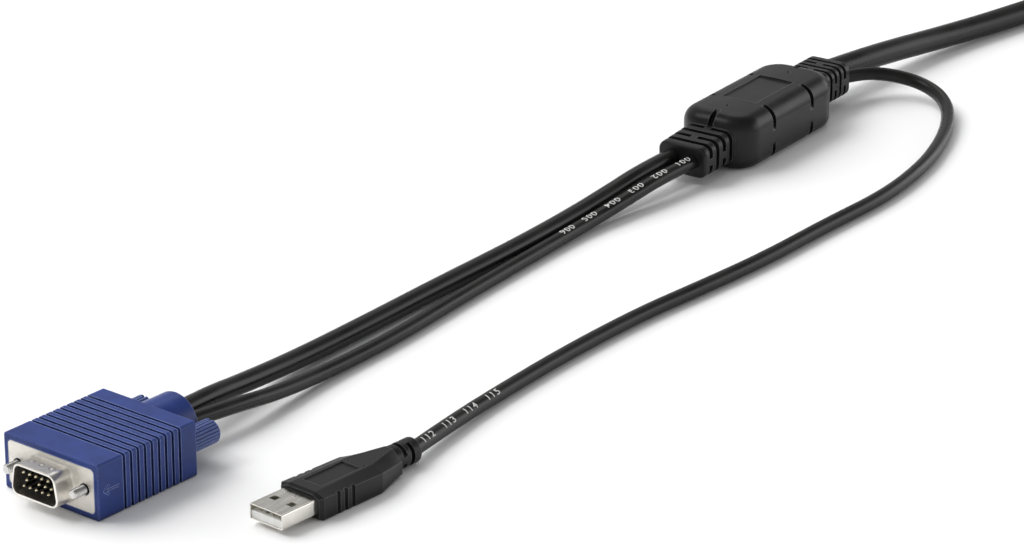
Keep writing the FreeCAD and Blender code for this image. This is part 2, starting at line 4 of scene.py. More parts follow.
import bmesh
import bpy
from bpy.props import FloatProperty, FloatVectorProperty, IntProperty, PointerProperty
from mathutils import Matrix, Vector


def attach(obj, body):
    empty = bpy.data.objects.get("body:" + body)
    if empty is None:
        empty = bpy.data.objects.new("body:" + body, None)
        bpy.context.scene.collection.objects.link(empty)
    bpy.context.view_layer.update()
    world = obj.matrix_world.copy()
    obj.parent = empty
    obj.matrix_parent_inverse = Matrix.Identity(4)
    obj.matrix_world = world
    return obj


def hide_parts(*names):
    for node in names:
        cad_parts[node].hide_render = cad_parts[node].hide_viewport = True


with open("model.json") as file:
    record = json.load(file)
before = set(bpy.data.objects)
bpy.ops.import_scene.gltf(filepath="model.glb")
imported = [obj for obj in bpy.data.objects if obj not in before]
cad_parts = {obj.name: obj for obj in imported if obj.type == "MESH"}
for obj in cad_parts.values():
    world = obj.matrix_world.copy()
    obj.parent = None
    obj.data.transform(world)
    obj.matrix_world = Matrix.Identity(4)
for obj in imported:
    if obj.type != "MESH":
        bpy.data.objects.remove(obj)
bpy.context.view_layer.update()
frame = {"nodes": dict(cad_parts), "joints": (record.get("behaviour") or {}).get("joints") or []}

bl_info = {
    "name": "Console cable looks",
    "version": (1, 0, 0),
    "blender": (4, 5, 0),
    "location": "3D View > Sidebar > Cable",
    "description": "Dresses the solid model of a console cable: cords, junction, plugs and a plain studio",
    "category": "Object",
}

# Routes of the cords, in metres, from the junction outwards.
VIDEO_ROUTE = (
    (-0.0447, 0.0037, 0.0077), (-0.0620, 0.0051, 0.0073), (-0.0800, 0.0064, 0.0052),
    (-0.1020, 0.0076, 0.0035), (-0.1320, 0.0083, 0.00305), (-0.1680, 0.0100, 0.00305),
    (-0.2040, 0.0110, 0.00305), (-0.2360, 0.0121, 0.0033), (-0.2620, 0.0117, 0.0054),
    (-0.2800, 0.0112, 0.0076), (-0.2980, 0.0108, 0.0082),
)
SIDE_ROUTE = (
    (-0.0447, -0.0040, 0.0077), (-0.0620, -0.0023, 0.0073), (-0.0800, -0.0004, 0.0050),
    (-0.1020, 0.0018, 0.0027), (-0.1320, 0.0018, 0.0023), (-0.1680, 0.0012, 0.0023),
    (-0.2040, -0.0003, 0.0023), (-0.2360, 0.0009, 0.0025), (-0.2600, 0.0009, 0.0044),
    (-0.2790, 0.0018, 0.0073), (-0.2986, 0.0052, 0.0082),
)
DATA_ROUTE = (
    (0.0447, -0.0042, 0.0090), (0.0554, -0.0079, 0.0087), (0.0623, -0.0149, 0.0074),
    (0.0649, -0.0235, 0.0060), (0.0628, -0.0322, 0.0046), (0.0565, -0.0397, 0.0034),
    (0.0444, -0.0470, 0.0025), (0.0269, -0.0538, 0.0023), (0.0040, -0.0598, 0.0023),
    (-0.0260, -0.0627, 0.0023), (-0.0580, -0.0599, 0.0023), (-0.0920, -0.0583, 0.0023),
    (-0.1220, -0.0545, 0.0023), (-0.1500, -0.0503, 0.0023), (-0.1860, -0.0481, 0.0023),
    (-0.2220, -0.0480, 0.0023), (-0.2480, -0.0494, 0.0029), (-0.2708, -0.0520, 0.0038),
)
TRUNK_ROUTE = (
    (0.0447, 0.0028, 0.0090), (0.0620, 0.0000, 0.0086), (0.0840, -0.0031, 0.0073),
    (0.1100, -0.0068, 0.0050), (0.1380, -0.0131, 0.00405), (0.1750, -0.0224, 0.0043),
    (0.2081, -0.0339, 0.0053),
)
TAIL_ROUTE = (
    (0.2870, -0.0486, 0.0125), (0.2990, -0.0483, 0.0116), (0.3145, -0.0468, 0.0091),
    (0.3313, -0.0460, 0.0082),
)

# The stored coil: its middle, and where the trunk enters and leaves it, in degrees.
COIL_CENTRE = (0.254, 0.002)
COIL_ENTRY_ANGLE = -107.5
COIL_ENTRY_TWIST = -54.0
COIL_EXIT_ANGLE = -90.0
COIL_POINTS_PER_TURN = 20

# The strap round the coil: its place in degrees of travel from the entry, its clearance, the bearings
# between which its end laps over it, and the steps in which it goes round the strands.
TIE_TRAVEL = 300.0
TIE_CLEARANCE = 0.00005
TIE_LAP = (40, 120)
TIE_STEPS = 72

# Print on the jackets: the height of a figure as a share of the type's size, the spacing of the figures,
# the thickening of their lines, how far they are drawn out, how far they stand off the jacket, and the
# bands in which they bend round it.
TYPE_HEIGHT = 0.7
TYPE_SPACING = 1.2
TYPE_WEIGHT = 0.00003
TYPE_STRETCH = 1.35
TYPE_LIFT = 0.00002
TYPE_BANDS = 6

# The thread's flanks are this much steeper than a plain zigzag, which leaves crest and root a little flat.
FLANK_STEEPNESS = 1.3
THREAD_SIDES = 36
THREAD_STEPS_PER_TURN = 10

# How far the pins stand in front of the flange, and how far behind their tips the painted shade on the pale
# plating begins and is full.
PIN_REACH = 0.0054
PIN_TIP = (0.0003, 0.0009)

# Where the satin of the flange begins and is full, in front of the flange.
SATIN_EDGE = (0.0012, 0.0002)

# Faces that meet at more than this angle, in degrees, keep a sharp edge between them.
SHARP_ANGLE = 35.0

# Most of a grain's values lie in this range.
GRAIN_RANGE = (0.3, 0.7)

# The cosine of an edge's turn at which the painted edge highlight begins, and at which it is full.
EDGE_HIGHLIGHT_RANGE = (0.997, 0.88)

# The camera: its place in metres, its tilt and heading in degrees, its sensor's width in millimetres, and
# how far it sees in metres.
CAMERA_PLACE = (-1.12886, -0.66409, 0.48677)
CAMERA_TILT = 67.7253
CAMERA_HEADING = -56.02
SENSOR_WIDTH = 36.0
SIGHT_RANGE = 50.0

# How far the floor reaches each way.
FLOOR_REACH = 6.0

# Where the lights hang, what they are aimed at, and the sides of the low panel.
KEY_PLACE = (-0.10, 0.72, 0.54)
TOP_PLACE = (-0.08, 0.26, 1.0)
EDGE_PLACE = (-0.48, 0.52, 0.75)
SIDE_PLACE = (2.9, -2.2, 0.95)
AIM_PLACE = (-0.12, 0.0, 0.0)
SIDE_PANEL = (4.4, 1.9)

# Ways in which the surroundings are brighter: the camera's side, the far side, and a lamp box above that.
FRONT = (-0.78, -0.53, 0.33)
BACK = (0.77, 0.52, 0.37)
GLINT = (0.56, 0.38, 0.735)

# The cosine from such a way at which its brightness begins, and at which it is full.
FILL_RANGE = (0.2, 0.9)
GLINT_RANGE = (0.95, 0.985)

# The heights between which the surroundings change from the horizon's brightness to the zenith's.
SKY_RANGE = (0.26, 0.52)

PLUGS = ("console", "switch")
SIDES = ("left", "right")
HOOD_PIECES = ("hood", "left_knob", "right_knob")


class CableSizes(bpy.types.PropertyGroup):
    """Sizes of the cords and of the fine forms that the solids leave out."""
    video_diameter: FloatProperty(
        name="Video lead", description="Diameter of the video lead", default=0.006, unit="LENGTH")
    thin_diameter: FloatProperty(
        name="Thin leads", description="Diameter of the side and data leads", default=0.0045, unit="LENGTH")
    trunk_diameter: FloatProperty(
        name="Trunk", description="Diameter of the trunk", default=0.008, unit="LENGTH")
    coil_radius: FloatProperty(
        name="Coil radius", description="Radius at the middle of the stored turns", default=0.044,
        unit="LENGTH")
    coil_turns: IntProperty(
        name="Coil turns", description="Whole turns in the stored coil", default=4)
    thread_pitch: FloatProperty(
        name="Thread pitch", description="Rise of one turn of the thumbscrew thread", default=0.000635,
        unit="LENGTH")
    thread_depth: FloatProperty(
        name="Thread depth", description="Depth of the thumbscrew thread", default=0.00030, unit="LENGTH")
    thread_radius: FloatProperty(
        name="Thread radius", description="Outer radius of the thumbscrew thread", default=0.00142,
        unit="LENGTH")
    thread_reach: FloatProperty(
        name="Thread reach", description="How far a thumbscrew stands out of its plug", default=0.0046,
        unit="LENGTH")
    thread_setback: FloatProperty(
        name="Thread setback", description="Where the thread ends in front of the flange", default=0.0004,
        unit="LENGTH")
    shank_radius: FloatProperty(
        name="Shank radius", description="Radius of the plain shank behind the thread", default=0.00115,
        unit="LENGTH")
    shank_back: FloatProperty(
        name="Shank back", description="Where the shank ends inside the knob", default=0.0461, unit="LENGTH")
    edge_round: FloatProperty(
        name="Edge softness", description="Radius that moulded edges appear to have", default=0.00026,
        unit="LENGTH")
    print_height: FloatProperty(
        name="Print height", description="Height of the numbers on the jackets", default=0.0021,
        unit="LENGTH")
    tie_width: FloatProperty(
        name="Tie width", description="Width of the strap round the coil", default=0.006, unit="LENGTH")
    tie_thickness: FloatProperty(
        name="Tie thickness", description="Thickness of the strap round the coil", default=0.00045,
        unit="LENGTH")


class CableFinishes(bpy.types.PropertyGroup):
    """Colours of the finishes."""
    jacket: FloatVectorProperty(
        name="Jacket", description="Cord jacket", subtype="COLOR", size=3, default=(0.012, 0.012, 0.0115))
    moulding: FloatVectorProperty(
        name="Moulding", description="Black junction and grip", subtype="COLOR", size=3,
        default=(0.010, 0.010, 0.0105))
    hood: FloatVectorProperty(
        name="Hood", description="Blue hood and knobs", subtype="COLOR", size=3,
        default=(0.020, 0.042, 0.190))
    # Painted highlight: a pale blue painted along the hood's edges, in place of the light that its rounded
    # rib edges catch.
    hood_edge_highlight: FloatVectorProperty(
        name="Hood edges", description="Polished edges of the hood", subtype="COLOR", size=3,
        default=(0.24, 0.32, 0.70))
    # Painted highlight: a grey painted along the black mouldings' edges, in place of the light that their
    # rounded edges catch.
    moulding_edge_highlight: FloatVectorProperty(
        name="Moulding edges", description="Polished edges of the black mouldings", subtype="COLOR", size=3,
        default=(0.085, 0.085, 0.086))
    nickel: FloatVectorProperty(
        name="Nickel", description="Plated shells", subtype="COLOR", size=3, default=(0.91, 0.88, 0.82))
    steel: FloatVectorProperty(
        name="Steel", description="Thumbscrews", subtype="COLOR", size=3, default=(0.70, 0.69, 0.67))
    gold: FloatVectorProperty(
        name="Gold", description="Pins and contacts", subtype="COLOR", size=3, default=(0.95, 0.86, 0.62))
    ink: FloatVectorProperty(
        name="Ink", description="Numbers printed on the jackets", subtype="COLOR", size=3,
        default=(0.62, 0.62, 0.60))
    tongue: FloatVectorProperty(
        name="Tongue", description="White insulator of the data plug", subtype="COLOR", size=3,
        default=(0.80, 0.80, 0.77))
    insulator: FloatVectorProperty(
        name="Insulator", description="Black pin block", subtype="COLOR", size=3,
        default=(0.010, 0.010, 0.011))


class CableStudio(bpy.types.PropertyGroup):
    """The floor, the lights and the camera."""
    floor: FloatVectorProperty(
        name="Floor", description="Floor colour", subtype="COLOR", size=3, default=(0.93, 0.93, 0.93))
    key_strength: FloatProperty(
        name="Key", description="Strength of the soft light from the left", default=3.1)
    key_spread: FloatProperty(
        name="Key spread", description="Angle that the key light fills", default=1.05, subtype="ANGLE")
    top_strength: FloatProperty(
        name="Top", description="Strength of the soft light overhead", default=0.62)
    top_spread: FloatProperty(
        name="Top spread", description="Angle that the light overhead fills", default=1.3, subtype="ANGLE")
    edge_strength: FloatProperty(
        name="Edge", description="Strength of the small light that draws the edges", default=0.45)
    edge_spread: FloatProperty(
        name="Edge spread", description="Angle that the edge light fills", default=0.35, subtype="ANGLE")
    side_power: FloatProperty(
        name="Side", description="Power of the low panel on the right", default=50.0, unit="POWER")
    back_fill: FloatProperty(
        name="Back fill", description="Brightness that the far side adds", default=0.16)
    glint: FloatProperty(
        name="Glint", description="Brightness of the small lamp box above the far side", default=1.1)
    front_fill: FloatProperty(
        name="Front fill", description="Brightness that the camera's side adds", default=0.18)
    sky_low: FloatProperty(
        name="Horizon", description="Brightness of the surroundings at the horizon", default=0.36)
    sky_high: FloatProperty(
        name="Zenith", description="Brightness of the surroundings overhead", default=0.06)
    lens: FloatProperty(
        name="Lens", description="Focal length", default=149.46, subtype="DISTANCE_CAMERA")


def finishes(context):
    """The finishes that the user has set."""
    return context.scene.cable_finishes


def sizes(context):
    """The sizes that the user has set."""
    return context.scene.cable_sizes


def link(piece):
    """Puts a new object in the scene."""
    bpy.context.scene.collection.objects.link(piece)
    return piece


def screw_line(plug, side):
    """Where a thumbscrew crosses its plug's mating face, and the way it points into the plug."""
    name = plug + "_" + side + "_turn"
    joint = next(joint for joint in frame["joints"] if joint["name"] == name)
    return Vector(joint["pos_m"]), Vector(joint["axis"])


def dress(node, material):
    """Gives a solid's own object a finish."""
    piece = frame["nodes"][node]
    piece.data.materials.clear()
    piece.data.materials.append(material)


def shader_of(name):
    """A new material with its node tree and its main shader."""
    material = bpy.data.materials.new(name)
    material.use_nodes = True
    tree = material.node_tree
    return material, tree, tree.nodes["Principled BSDF"]


def feed(tree, socket, value):
    """Gives a socket a value, or a link where the value is another node's output."""
    if isinstance(value, bpy.types.NodeSocket):
        tree.links.new(value, socket)
    else:
        socket.default_value = value


def finish(tree, shader, values):
    """Feeds the named inputs of a shader."""
    for name, value in values.items():
        feed(tree, shader.inputs[name], value)


def noise(tree, scale, detail, stretch=None):
    """A grain in the object's own space; stretch draws it out along an axis."""
    place = tree.nodes.new("ShaderNodeTexCoord").outputs["Object"]
    if stretch is not None:
        scaling = tree.nodes.new("ShaderNodeMapping")
        scaling.inputs["Scale"].default_value = stretch
        tree.links.new(place, scaling.inputs["Vector"])
        place = scaling.outputs["Vector"]
    grain = tree.nodes.new("ShaderNodeTexNoise")
    grain.inputs["Scale"].default_value = scale
    grain.inputs["Detail"].default_value = detail
    tree.links.new(place, grain.inputs["Vector"])
    return grain.outputs["Fac"]


def remap(tree, value, start, end, low, high, smooth=False):
    """Spreads a value from one range over another, and holds it at both ends."""
    ramp = tree.nodes.new("ShaderNodeMapRange")
    if smooth:
        ramp.interpolation_type = "SMOOTHSTEP"
    finish(tree, ramp, {"Value": value, "From Min": start, "From Max": end, "To Min": low, "To Max": high})
    return ramp.outputs["Result"]


def between(tree, grain, low, high):
    """Spreads a grain over a range of values."""
    return remap(tree, grain, *GRAIN_RANGE, low, high)


def tint(tree, grain, colour, darkest, lightest):
    """Varies a colour's lightness with a grain."""
    ramp = tree.nodes.new("ShaderNodeValToRGB")
    for stop, position, share in zip(ramp.color_ramp.elements, GRAIN_RANGE, (darkest, lightest)):
        stop.position = position
        stop.color = [share * part for part in colour] + [1.0]
    tree.links.new(grain, ramp.inputs["Fac"])
    return ramp.outputs["Color"]


def blend(tree, factor, one, other):
    """Mixes two colours, from the one to the other as a factor rises."""
    mix = tree.nodes.new("ShaderNodeMix")
    mix.data_type = "RGBA"
    finish(tree, mix, {"Factor": factor, "A": one, "B": other})
    return mix.outputs["Result"]


def dot(tree, one, other):
    """The product of two ways, or how far a place lies along a way."""
    product = tree.nodes.new("ShaderNodeVectorMath")
    product.operation = "DOT_PRODUCT"
    feed(tree, product.inputs[0], one)
    feed(tree, product.inputs[1], other)
    return product.outputs["Value"]


def along_axis(tree, axis):
    """How far a place on the object lies along an axis."""
    return dot(tree, tree.nodes.new("ShaderNodeTexCoord").outputs["Object"], axis)


def bump(tree, height, depth, strength, under=None):
    """Raises a surface a little where a grain is high, on top of another relief."""
    relief = tree.nodes.new("ShaderNodeBump")
    finish(tree, relief, {"Strength": strength, "Distance": depth, "Height": height})
    if under is not None:
        tree.links.new(under, relief.inputs["Normal"])
    return relief.outputs["Normal"]


def soft_edges(tree, radius, samples=4):
    """Makes edges appear rounded."""
    rounding = tree.nodes.new("ShaderNodeBevel")
    rounding.samples = samples
    rounding.inputs["Radius"].default_value = radius
    return rounding.outputs["Normal"]


def painted_groove_shade(tree, colour, dark, reach):
    """Paints shade into a colour inside grooves that are narrower than a reach, darkening them where shade
    falls.
    """
    shade = tree.nodes.new("ShaderNodeAmbientOcclusion")
    shade.samples = 8
    shade.inputs["Distance"].default_value = reach
    return blend(tree, shade.outputs["AO"], (*dark, 1.0), colour)


def painted_edge_highlights(tree, colour, pale, radius):
    """Paints a highlight along edges by lightening a colour where a rounded edge would catch the light."""
    surface = tree.nodes.new("ShaderNodeNewGeometry")
    agreement = dot(tree, soft_edges(tree, radius, samples=6), surface.outputs["True Normal"])
    return blend(tree, remap(tree, agreement, *EDGE_HIGHLIGHT_RANGE, 0.0, 1.0), colour, (*pale, 1.0))


def moulded(name, colour, roughness, grain, relief, edge, pale=None, reach=0.0006):
    """A satin moulded plastic with a fine spark-eroded grain; pale gives painted highlights along the edges
    and painted shade in the grooves.
    """
    groove_shade_share = 0.20
    highlight_reach = 1.8
    material, tree, shader = shader_of(name)
    broad = noise(tree, scale=160.0, detail=2.0)
    fine = noise(tree, scale=grain, detail=2.0)
    skin = tint(tree, broad, colour, darkest=0.88, lightest=1.14)
    # With a pale colour, edges get a painted highlight and grooves get painted shade.
    if pale is not None:
        dark = [groove_shade_share * part for part in colour]
        skin = painted_groove_shade(tree, painted_edge_highlights(tree, skin, pale, highlight_reach * edge), dark, reach)
    finish(tree, shader, {
        "Base Color": skin,
        "Roughness": between(tree, broad, *roughness),
        "Normal": bump(tree, fine, depth=relief, strength=0.35, under=soft_edges(tree, edge)),
        "Specular IOR Level": 0.27,
    })
    return material


def jacket(name, colour):
    """Extruded cord jacket: a smooth satin with a faint grain, uneven from handling."""
    material, tree, shader = shader_of(name)
    broad = noise(tree, scale=90.0, detail=3.0)
    fine = noise(tree, scale=1400.0, detail=2.0)
    finish(tree, shader, {
        "Base Color": tint(tree, broad, colour, darkest=0.8, lightest=1.25),
        "Roughness": between(tree, broad, 0.25, 0.33),
        "Normal": bump(tree, fine, depth=0.00002, strength=0.25),
        "Specular IOR Level": 0.25,
    })
    return material


def plating(tree, colour):
    """The colour of plating, a little uneven."""
    return tint(tree, noise(tree, scale=220.0, detail=2.0), colour, darkest=0.95, lightest=1.04)


def drawing_lines(tree, roughness):
    """The roughness of drawn metal, which varies in faint lines."""
    return between(tree, noise(tree, scale=700.0, detail=2.0, stretch=(0.10, 1.0, 1.0)), *roughness)


def plated(name, colour, roughness, edge):
    """Plated sheet: bright metal with faint drawing lines."""
    material, tree, shader = shader_of(name)
    finish(tree, shader, {
        "Base Color": plating(tree, colour),
        "Roughness": drawing_lines(tree, roughness),
        "Normal": soft_edges(tree, edge),
        "Metallic": 1.0,
    })
    return material


def drawn_shell(name, colour, origin, axis):
    """Plated sheet with faint ripples: satin on the flat flange, brighter on the shell drawn out of it."""
    bright, satin = 0.33, 0.55
    material, tree, shader = shader_of(name)
    start, end = [origin.dot(axis) - distance for distance in SATIN_EDGE]
    ripples = noise(tree, scale=420.0, detail=2.0)
    finish(tree, shader, {
        "Base Color": plating(tree, colour),
        "Roughness": remap(tree, along_axis(tree, axis), start, end, bright, satin),
        "Normal": bump(tree, ripples, depth=0.00035, strength=0.30, under=soft_edges(tree, 0.0001)),
        "Metallic": 1.0,
    })
    return material


def pins_with_painted_shade(name, colour, origin, axis):
    """Plated pins: pale at the rounded tips, darkened behind them by painted shade."""
    pin_shade_share = 0.16
    material, tree, shader = shader_of(name)
    start, end = [origin.dot(axis) - PIN_REACH + distance for distance in PIN_TIP]
    behind = remap(tree, along_axis(tree, axis), start, end, 0.0, 1.0)
    pin_shade = [pin_shade_share * part for part in colour]
    finish(tree, shader, {
        "Base Color": blend(tree, behind, (*colour, 1.0), (*pin_shade, 1.0)),
        "Roughness": drawing_lines(tree, (0.28, 0.36)),
        "Normal": soft_edges(tree, 0.00005),
        "Metallic": 1.0,
    })
    return material


def cut_steel(name, colour):
    """The thumbscrews' steel, with painted shade darkening the roots of the thread."""
    root_shade_share = 0.02
    material, tree, shader = shader_of(name)
    dark = [root_shade_share * part for part in colour]
    finish(tree, shader, {
        "Base Color": painted_groove_shade(tree, plating(tree, colour), dark, reach=0.0009),
        "Roughness": drawing_lines(tree, (0.22, 0.32)),
        "Normal": soft_edges(tree, 0.00005),
        "Metallic": 1.0,
    })
    return material


def floor_paper(name, colour):
    """Dull white paper, faintly uneven."""
    material, tree, shader = shader_of(name)
    broad = noise(tree, scale=3.0, detail=2.0)
    finish(tree, shader, {
        "Base Color": tint(tree, broad, colour, darkest=0.995, lightest=1.005),
        "Roughness": 0.9,
        "Specular IOR Level": 0.1,
    })
    return material


def spline_curve(name, points):
    """A curve of one smooth open spline whose control points are the route."""
    line = bpy.data.curves.new(name, "CURVE")
    line.dimensions = "3D"
    spline = line.splines.new("NURBS")
    spline.points.add(len(points) - 1)
    for point, place in zip(spline.points, points):
        point.co = (*place, 1.0)
    spline.order_u = 3
    spline.use_endpoint_u = True
    return line


def spline_places(points):
    """Places along a cord's own spline, in order."""
    line = spline_curve("route", points)
    line.resolution_u = 24
    carrier = bpy.data.objects.new("route", line)
    mesh = bpy.data.meshes.new_from_object(carrier)
    places = [vertex.co.copy() for vertex in mesh.vertices]
    bpy.data.objects.remove(carrier)
    bpy.data.curves.remove(line)
    bpy.data.meshes.remove(mesh)
    return places


def cord_piece(name, points, diameter, material):
    """A round cord along a route."""
    line = spline_curve(name, points)
    line.resolution_u = 10
    line.bevel_depth = diameter / 2
    line.bevel_resolution = 7
    line.use_fill_caps = True
    line.materials.append(material)
    piece = link(bpy.data.objects.new(name, line))
    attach(piece, "cable")
    return piece


def coil_strand(size, travel):
    """A strand's place in the coil's section, outwards and up, after a travel in degrees from the entry.

    The section has room for one strand more than the turns, so that a strand can cross over.
    """
    slots = size.coil_turns + 1
    reach = size.trunk_diameter / (2 * math.sin(math.pi / slots))
    twist = math.radians(COIL_ENTRY_TWIST - travel / slots)
    return reach * math.cos(twist), reach * (1 + math.sin(twist)) + size.trunk_diameter / 2


def coil_points(size):
    """The stored turns: strands that wind round each other, a diameter apart, as they go round."""
    whole = size.coil_turns * 360 + COIL_EXIT_ANGLE - COIL_ENTRY_ANGLE
    count = int(round(whole / 360 * COIL_POINTS_PER_TURN))
    swell = 1 / math.cos(math.pi / COIL_POINTS_PER_TURN)
    across, away = COIL_CENTRE
    points = []
    for index in range(count + 1):
        travel = whole * index / count
        angle = math.radians(COIL_ENTRY_ANGLE + travel)
        outwards, height = coil_strand(size, travel)
        reach = (size.coil_radius + outwards) * swell
        points.append((across + reach * math.cos(angle), away + reach * math.sin(angle), height))
    return points


def mesh_piece(name, shape, body, material):
    """Turns a bmesh into a smooth-shaded piece that rides on a body."""
    bmesh.ops.recalc_face_normals(shape, faces=shape.faces)
    mesh = bpy.data.meshes.new(name)
    shape.to_mesh(mesh)
    shape.free()
    mesh.shade_smooth()
    mesh.set_sharp_from_angle(angle=math.radians(SHARP_ANGLE))
    mesh.materials.append(material)
    piece = link(bpy.data.objects.new(name, mesh))
    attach(piece, body)
    return piece


def skin_rings(shape, rings, closed):
    """Joins rings of points, each ring closed on itself, with four-sided faces."""
    rows = [[shape.verts.new(point) for point in ring] for ring in rings]
    pairs = list(zip(rows, rows[1:]))
    if closed:
        pairs.append((rows[-1], rows[0]))
    for one, other in pairs:
        count = len(one)
        for index in range(count):
            following = (index + 1) % count
            shape.faces.new((one[index], one[following], other[following], other[index]))
    return rows


def cap_ends(shape, rows):
    """Closes the first and the last of a row of rings."""
    shape.faces.new(rows[0])
    shape.faces.new(list(reversed(rows[-1])))


def strap_rings(size, bearings, inside):
    """Sections of a strap round the coil's strands, at bearings in degrees, an inside distance off them."""
    angle = math.radians(COIL_ENTRY_ANGLE + TIE_TRAVEL)
    out = Vector((math.cos(angle), math.sin(angle), 0.0))
    along = Vector((-math.sin(angle), math.cos(angle), 0.0))
    up = Vector((0.0, 0.0, 1.0))
    middle = Vector((*COIL_CENTRE, 0.0)) + out * size.coil_radius
    strands = [Vector(coil_strand(size, TIE_TRAVEL + 360 * turn)) for turn in range(size.coil_turns)]
    rings = []
    for bearing in bearings:
        heading = Vector((math.cos(math.radians(bearing)), math.sin(math.radians(bearing))))
        strand = max(strands, key=lambda place: place.dot(heading))
        ring = []
        for depth, side in ((0, -1), (1, -1), (1, 1), (0, 1)):
            place = strand + heading * (size.trunk_diameter / 2 + inside + depth * size.tie_thickness)
            ring.append(middle + out * place.x + up * place.y + along * (side * size.tie_width / 2))
        rings.append(ring)
    return rings


def coil_tie(size, material):
    """A thin strap drawn round the coil's strands, with its end lapped over itself."""
    step = 360 / TIE_STEPS
    start, end = TIE_LAP
    whole = [step * index for index in range(TIE_STEPS)]
    lapped = [start + step * index for index in range(int((end - start) / step) + 1)]
    shape = bmesh.new()
    skin_rings(shape, strap_rings(size, whole, TIE_CLEARANCE), True)
    lap = skin_rings(shape, strap_rings(size, lapped, TIE_CLEARANCE + size.tie_thickness), False)
    cap_ends(shape, lap)
    return mesh_piece("coil_tie", shape, "cable", material)


def place_along(places, distance):
    """A place and a heading at a distance along a line of places."""
    for one, other in zip(places, places[1:]):
        step = (other - one).length
        if distance <= step:
            return one.lerp(other, distance / step), (other - one).normalized()
        distance -= step
    raise ValueError("the line is shorter than the distance asked for")


def flat_figures(name, words, height):
    """Figures of a height that lie flat, cut into bands so that they can bend."""
    letters = bpy.data.curves.new(name, "FONT")
    letters.body = words
    letters.size = height / TYPE_HEIGHT
    letters.space_character = TYPE_SPACING
    letters.offset = TYPE_WEIGHT
    carrier = bpy.data.objects.new(name, letters)
    flat = bpy.data.meshes.new_from_object(carrier)
    shape = bmesh.new()
    shape.from_mesh(flat)
    bpy.data.objects.remove(carrier)
    bpy.data.curves.remove(letters)
    bpy.data.meshes.remove(flat)
    for band in range(1, TYPE_BANDS):
        everything = shape.verts[:] + shape.edges[:] + shape.faces[:]
        level = (0.0, height * band / TYPE_BANDS, 0.0)
        bmesh.ops.bisect_plane(shape, geom=everything, plane_co=level, plane_no=(0.0, 1.0, 0.0))
    return shape


def jacket_numbers(name, words, route, diameter, start, bearing, size, material):
    """Plain numbers printed on a jacket, which read along the route from a start.

    The bearing, in degrees, is measured from the jacket's right side.
    """
    shape = flat_figures(name, words, size.print_height)
    places = spline_places(route)
    radius = diameter / 2 + TYPE_LIFT
    for vertex in shape.verts:
        middle, heading = place_along(places, start + vertex.co.x * TYPE_STRETCH)
        left = Vector((0, 0, 1)).cross(heading).normalized()
        turn = math.radians(bearing) + (vertex.co.y - size.print_height / 2) / radius
        vertex.co = middle + (heading.cross(left) * math.sin(turn) - left * math.cos(turn)) * radius
    return mesh_piece(name, shape, "cable", material)


def thread_radius_at(size, along, angle):
    """Radius of the cut thread at a distance along the rod and an angle about it."""
    phase = (along / size.thread_pitch - angle / math.tau) % 1.0
    flank = FLANK_STEEPNESS * abs(2 * phase - 1) - (FLANK_STEEPNESS - 1) / 2
    ridge = min(1.0, max(0.0, flank))
    root = size.thread_radius - size.thread_depth
    point = root + along + size.thread_reach
    return min(root + size.thread_depth * ridge, point)


def threaded_rod(name, node, body, origin, axis, size, material):
    """A thumbscrew's rod: a cut thread with a pointed lead, then the plain shank."""
    threaded = size.thread_reach - size.thread_setback
    steps = int(threaded / size.thread_pitch * THREAD_STEPS_PER_TURN)
    angles = [math.tau * index / THREAD_SIDES for index in range(THREAD_SIDES)]
    stations = []
    for step in range(steps + 1):
        along = -size.thread_reach + threaded * step / steps
        stations.append((along, [thread_radius_at(size, along, angle) for angle in angles]))
    for along in (-size.thread_setback, size.shank_back):
        stations.append((along, [size.shank_radius] * THREAD_SIDES))
    turn = axis.to_track_quat("X", "Z")
    rings = []
    for along, radii in stations:
        rings.append([origin + turn @ Vector((along, radius * math.cos(angle), radius * math.sin(angle)))
                      for radius, angle in zip(radii, angles)])
    shape = bmesh.new()
    cap_ends(shape, skin_rings(shape, rings, False))
    piece = mesh_piece(name, shape, body, material)
    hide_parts(node)


